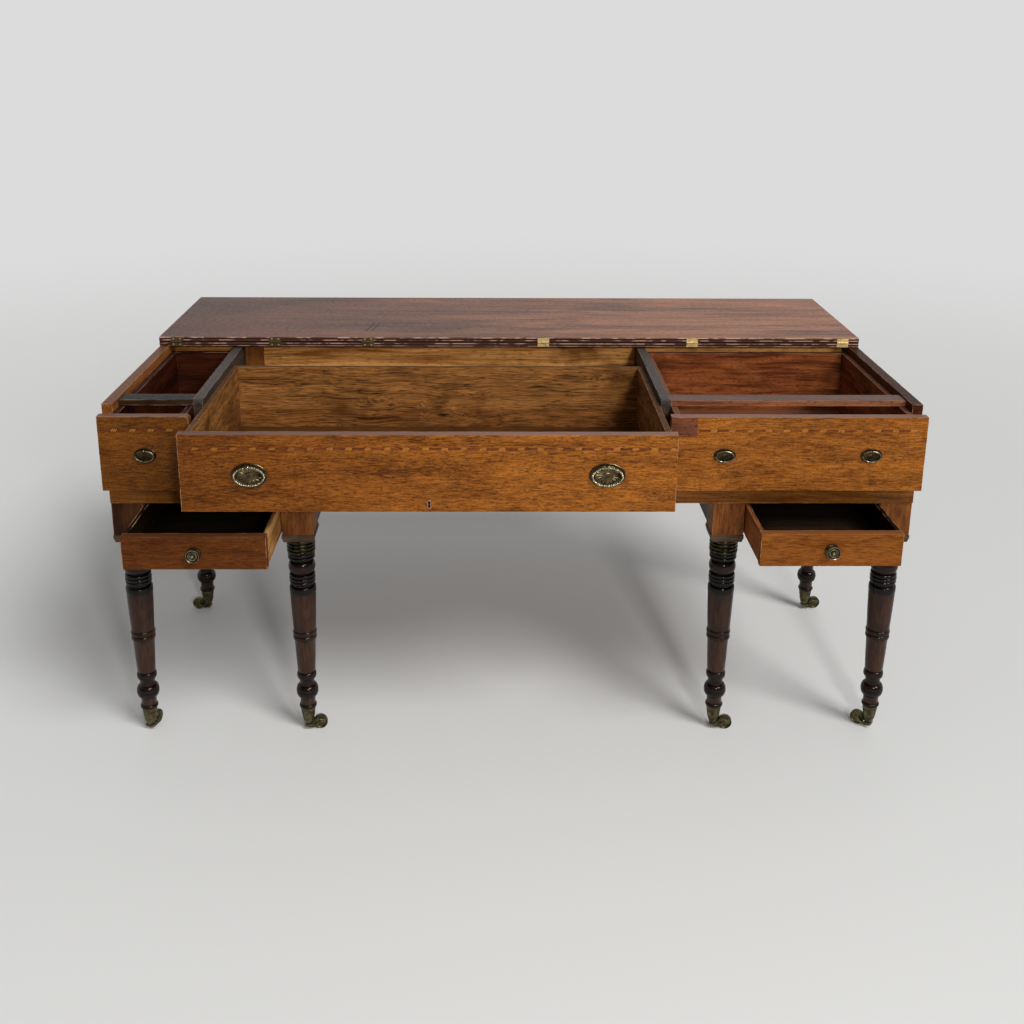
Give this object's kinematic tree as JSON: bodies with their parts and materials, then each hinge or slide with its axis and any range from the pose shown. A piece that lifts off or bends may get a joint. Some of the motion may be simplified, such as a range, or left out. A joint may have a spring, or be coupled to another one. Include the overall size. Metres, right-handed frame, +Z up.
{
  "type": "writing desk",
  "caption": "Long mahogany writing desk made from a square piano case, with a fold-back top flap, overlay drawers with ring pulls, small drawers below and turned legs on casters.",
  "frame": {"origin": "on the floor, below the middle of the space that the desk takes with its flap folded back and its drawers out as pictured", "axes": "+X along the case to the right as seen from the front, +Y to the back, +Z up"},
  "size_m": [1.7182, 1.075, 0.8096],
  "materials": {
    "mahogany_top": "satin polish, worn edges",
    "mahogany_front": "satin wax with a patterned inlay line",
    "mahogany_case": "satin wax",
    "mahogany_leg": "glossy french polish",
    "pine": "bare, stained by age",
    "drawer_lining": "bare, knotty, oiled by use",
    "dark_stained": "worn dark stain",
    "brass": "dull, tarnished in the hollows"
  },
  "bodies": {
    "case": {"aprons": "dark_stained", "back_board": "mahogany_case", "base_board": "mahogany_case", "bay_dividers": "dark_stained", "case_hinge_leaves": "brass", "caster_cups": "brass", "corner_post": "mahogany_case", "drawer_guides": "dark_stained", "drawer_runners": "pine", "end_panels": "mahogany_case", "fixed_leaf": "mahogany_top", "inner_back_board": "pine", "leg_blocks": "mahogany_case", "leg_collars": "brass", "leg_plates": "dark_stained", "legs": "mahogany_leg", "top_rails": "dark_stained"},
    "left_drawer": {"left_drawer_bottom": "drawer_lining", "left_drawer_box": "drawer_lining", "left_drawer_front": "mahogany_front", "left_pull_plates": "brass"},
    "middle_drawer": {"middle_drawer_bottom": "drawer_lining", "middle_drawer_box": "drawer_lining", "middle_drawer_front": "mahogany_front", "middle_escutcheon": "brass", "middle_lock": "brass", "middle_pull_plates": "brass"},
    "right_drawer": {"right_drawer_bottom": "drawer_lining", "right_drawer_box": "drawer_lining", "right_drawer_front": "mahogany_front", "right_pull_plates": "brass"},
    "small_left": {"small_left_bottom": "drawer_lining", "small_left_box": "drawer_lining", "small_left_front": "mahogany_front", "small_left_knob": "brass"},
    "small_right": {"small_right_bottom": "drawer_lining", "small_right_box": "drawer_lining", "small_right_front": "mahogany_front", "small_right_knob": "brass"},
    "flap": {"front_flap": "mahogany_top", "flap_hinge_leaves": "brass"},
    "left_bail": {"left_bail": "brass"},
    "middle_left_bail": {"middle_left_bail": "brass"},
    "middle_right_bail": {"middle_right_bail": "brass"},
    "right_inner_bail": {"right_inner_bail": "brass"},
    "right_outer_bail": {"right_outer_bail": "brass"},
    "left_outer_fork": {"left_outer_fork": "brass"},
    "left_outer_wheel": {"left_outer_wheel": "brass"},
    "left_inner_fork": {"left_inner_fork": "brass"},
    "left_inner_wheel": {"left_inner_wheel": "brass"},
    "right_inner_fork": {"right_inner_fork": "brass"},
    "right_inner_wheel": {"right_inner_wheel": "brass"},
    "right_outer_fork": {"right_outer_fork": "brass"},
    "right_outer_wheel": {"right_outer_wheel": "brass"},
    "left_rear_fork": {"left_rear_fork": "brass"},
    "left_rear_wheel": {"left_rear_wheel": "brass"},
    "right_rear_fork": {"right_rear_fork": "brass"},
    "right_rear_wheel": {"right_rear_wheel": "brass"}
  },
  "joints": [
    {"name": "flap_fold", "type": "hinge", "parent": "case", "child": "flap", "pos_m": [0, 0.1025, 0.798], "axis": [1, 0, 0], "range_deg": [0, 180]},
    {"name": "left_drawer_slide", "type": "slide", "parent": "case", "child": "left_drawer", "axis": [0, -1, 0], "range_m": [-0.018, 0.36]},
    {"name": "middle_drawer_slide", "type": "slide", "parent": "case", "child": "middle_drawer", "axis": [0, -1, 0], "range_m": [-0.127, 0.24]},
    {"name": "right_drawer_slide", "type": "slide", "parent": "case", "child": "right_drawer", "axis": [0, -1, 0], "range_m": [-0.018, 0.36]},
    {"name": "small_left_slide", "type": "slide", "parent": "case", "child": "small_left", "axis": [0, -1, 0], "range_m": [-0.167, 0.1]},
    {"name": "small_right_slide", "type": "slide", "parent": "case", "child": "small_right", "axis": [0, -1, 0], "range_m": [-0.154, 0.11]},
    {"name": "left_bail_swing", "type": "hinge", "parent": "left_drawer", "child": "left_bail", "pos_m": [-0.756, -0.39087, 0.69863], "axis": [-1, 0, 0], "range_deg": [0, 90]},
    {"name": "middle_left_bail_swing", "type": "hinge", "parent": "middle_drawer", "child": "middle_left_bail", "pos_m": [-0.523, -0.50122, 0.70488], "axis": [-1, 0, 0], "range_deg": [0, 90]},
    {"name": "middle_right_bail_swing", "type": "hinge", "parent": "middle_drawer", "child": "middle_right_bail", "pos_m": [0.181, -0.50122, 0.70488], "axis": [-1, 0, 0], "range_deg": [0, 90]},
    {"name": "right_inner_bail_swing", "type": "hinge", "parent": "right_drawer", "child": "right_inner_bail", "pos_m": [0.433, -0.39087, 0.69863], "axis": [-1, 0, 0], "range_deg": [0, 90]},
    {"name": "right_outer_bail_swing", "type": "hinge", "parent": "right_drawer", "child": "right_outer_bail", "pos_m": [0.737, -0.39087, 0.69863], "axis": [-1, 0, 0], "range_deg": [0, 90]},
    {"name": "left_outer_swivel", "type": "hinge", "parent": "case", "child": "left_outer_fork", "pos_m": [-0.8165, -0.309, 0.014], "axis": [0, 0, 1], "continuous": true},
    {"name": "left_outer_roll", "type": "hinge", "parent": "left_outer_fork", "child": "left_outer_wheel", "pos_m": [-0.80973, -0.28374, 0.016], "axis": [-0.9659, 0.2588, 0], "continuous": true},
    {"name": "left_inner_swivel", "type": "hinge", "parent": "case", "child": "left_inner_fork", "pos_m": [-0.4595, -0.309, 0.014], "axis": [0, 0, 1], "continuous": true},
    {"name": "left_inner_roll", "type": "hinge", "parent": "left_inner_fork", "child": "left_inner_wheel", "pos_m": [-0.4336, -0.30536, 0.016], "axis": [-0.1392, 0.9903, 0], "continuous": true},
    {"name": "right_inner_swivel", "type": "hinge", "parent": "case", "child": "right_inner_fork", "pos_m": [0.4595, -0.309, 0.014], "axis": [0, 0, 1], "continuous": true},
    {"name": "right_inner_roll", "type": "hinge", "parent": "right_inner_fork", "child": "right_inner_wheel", "pos_m": [0.48551, -0.31173, 0.016], "axis": [0.1045, 0.9945, 0], "continuous": true},
    {"name": "right_outer_swivel", "type": "hinge", "parent": "case", "child": "right_outer_fork", "pos_m": [0.8165, -0.309, 0.014], "axis": [0, 0, 1], "continuous": true},
    {"name": "right_outer_roll", "type": "hinge", "parent": "right_outer_fork", "child": "right_outer_wheel", "pos_m": [0.79589, -0.2929, 0.016], "axis": [-0.6157, -0.788, 0], "continuous": true},
    {"name": "left_rear_swivel", "type": "hinge", "parent": "case", "child": "left_rear_fork", "pos_m": [-0.8165, 0.261, 0.014], "axis": [0, 0, 1], "continuous": true},
    {"name": "left_rear_roll", "type": "hinge", "parent": "left_rear_fork", "child": "left_rear_wheel", "pos_m": [-0.8424, 0.26464, 0.016], "axis": [-0.1392, -0.9903, 0], "continuous": true},
    {"name": "right_rear_swivel", "type": "hinge", "parent": "case", "child": "right_rear_fork", "pos_m": [0.8165, 0.261, 0.014], "axis": [0, 0, 1], "continuous": true},
    {"name": "right_rear_roll", "type": "hinge", "parent": "right_rear_fork", "child": "right_rear_wheel", "pos_m": [0.8424, 0.26464, 0.016], "axis": [-0.1392, 0.9903, 0], "continuous": true}
  ]
}
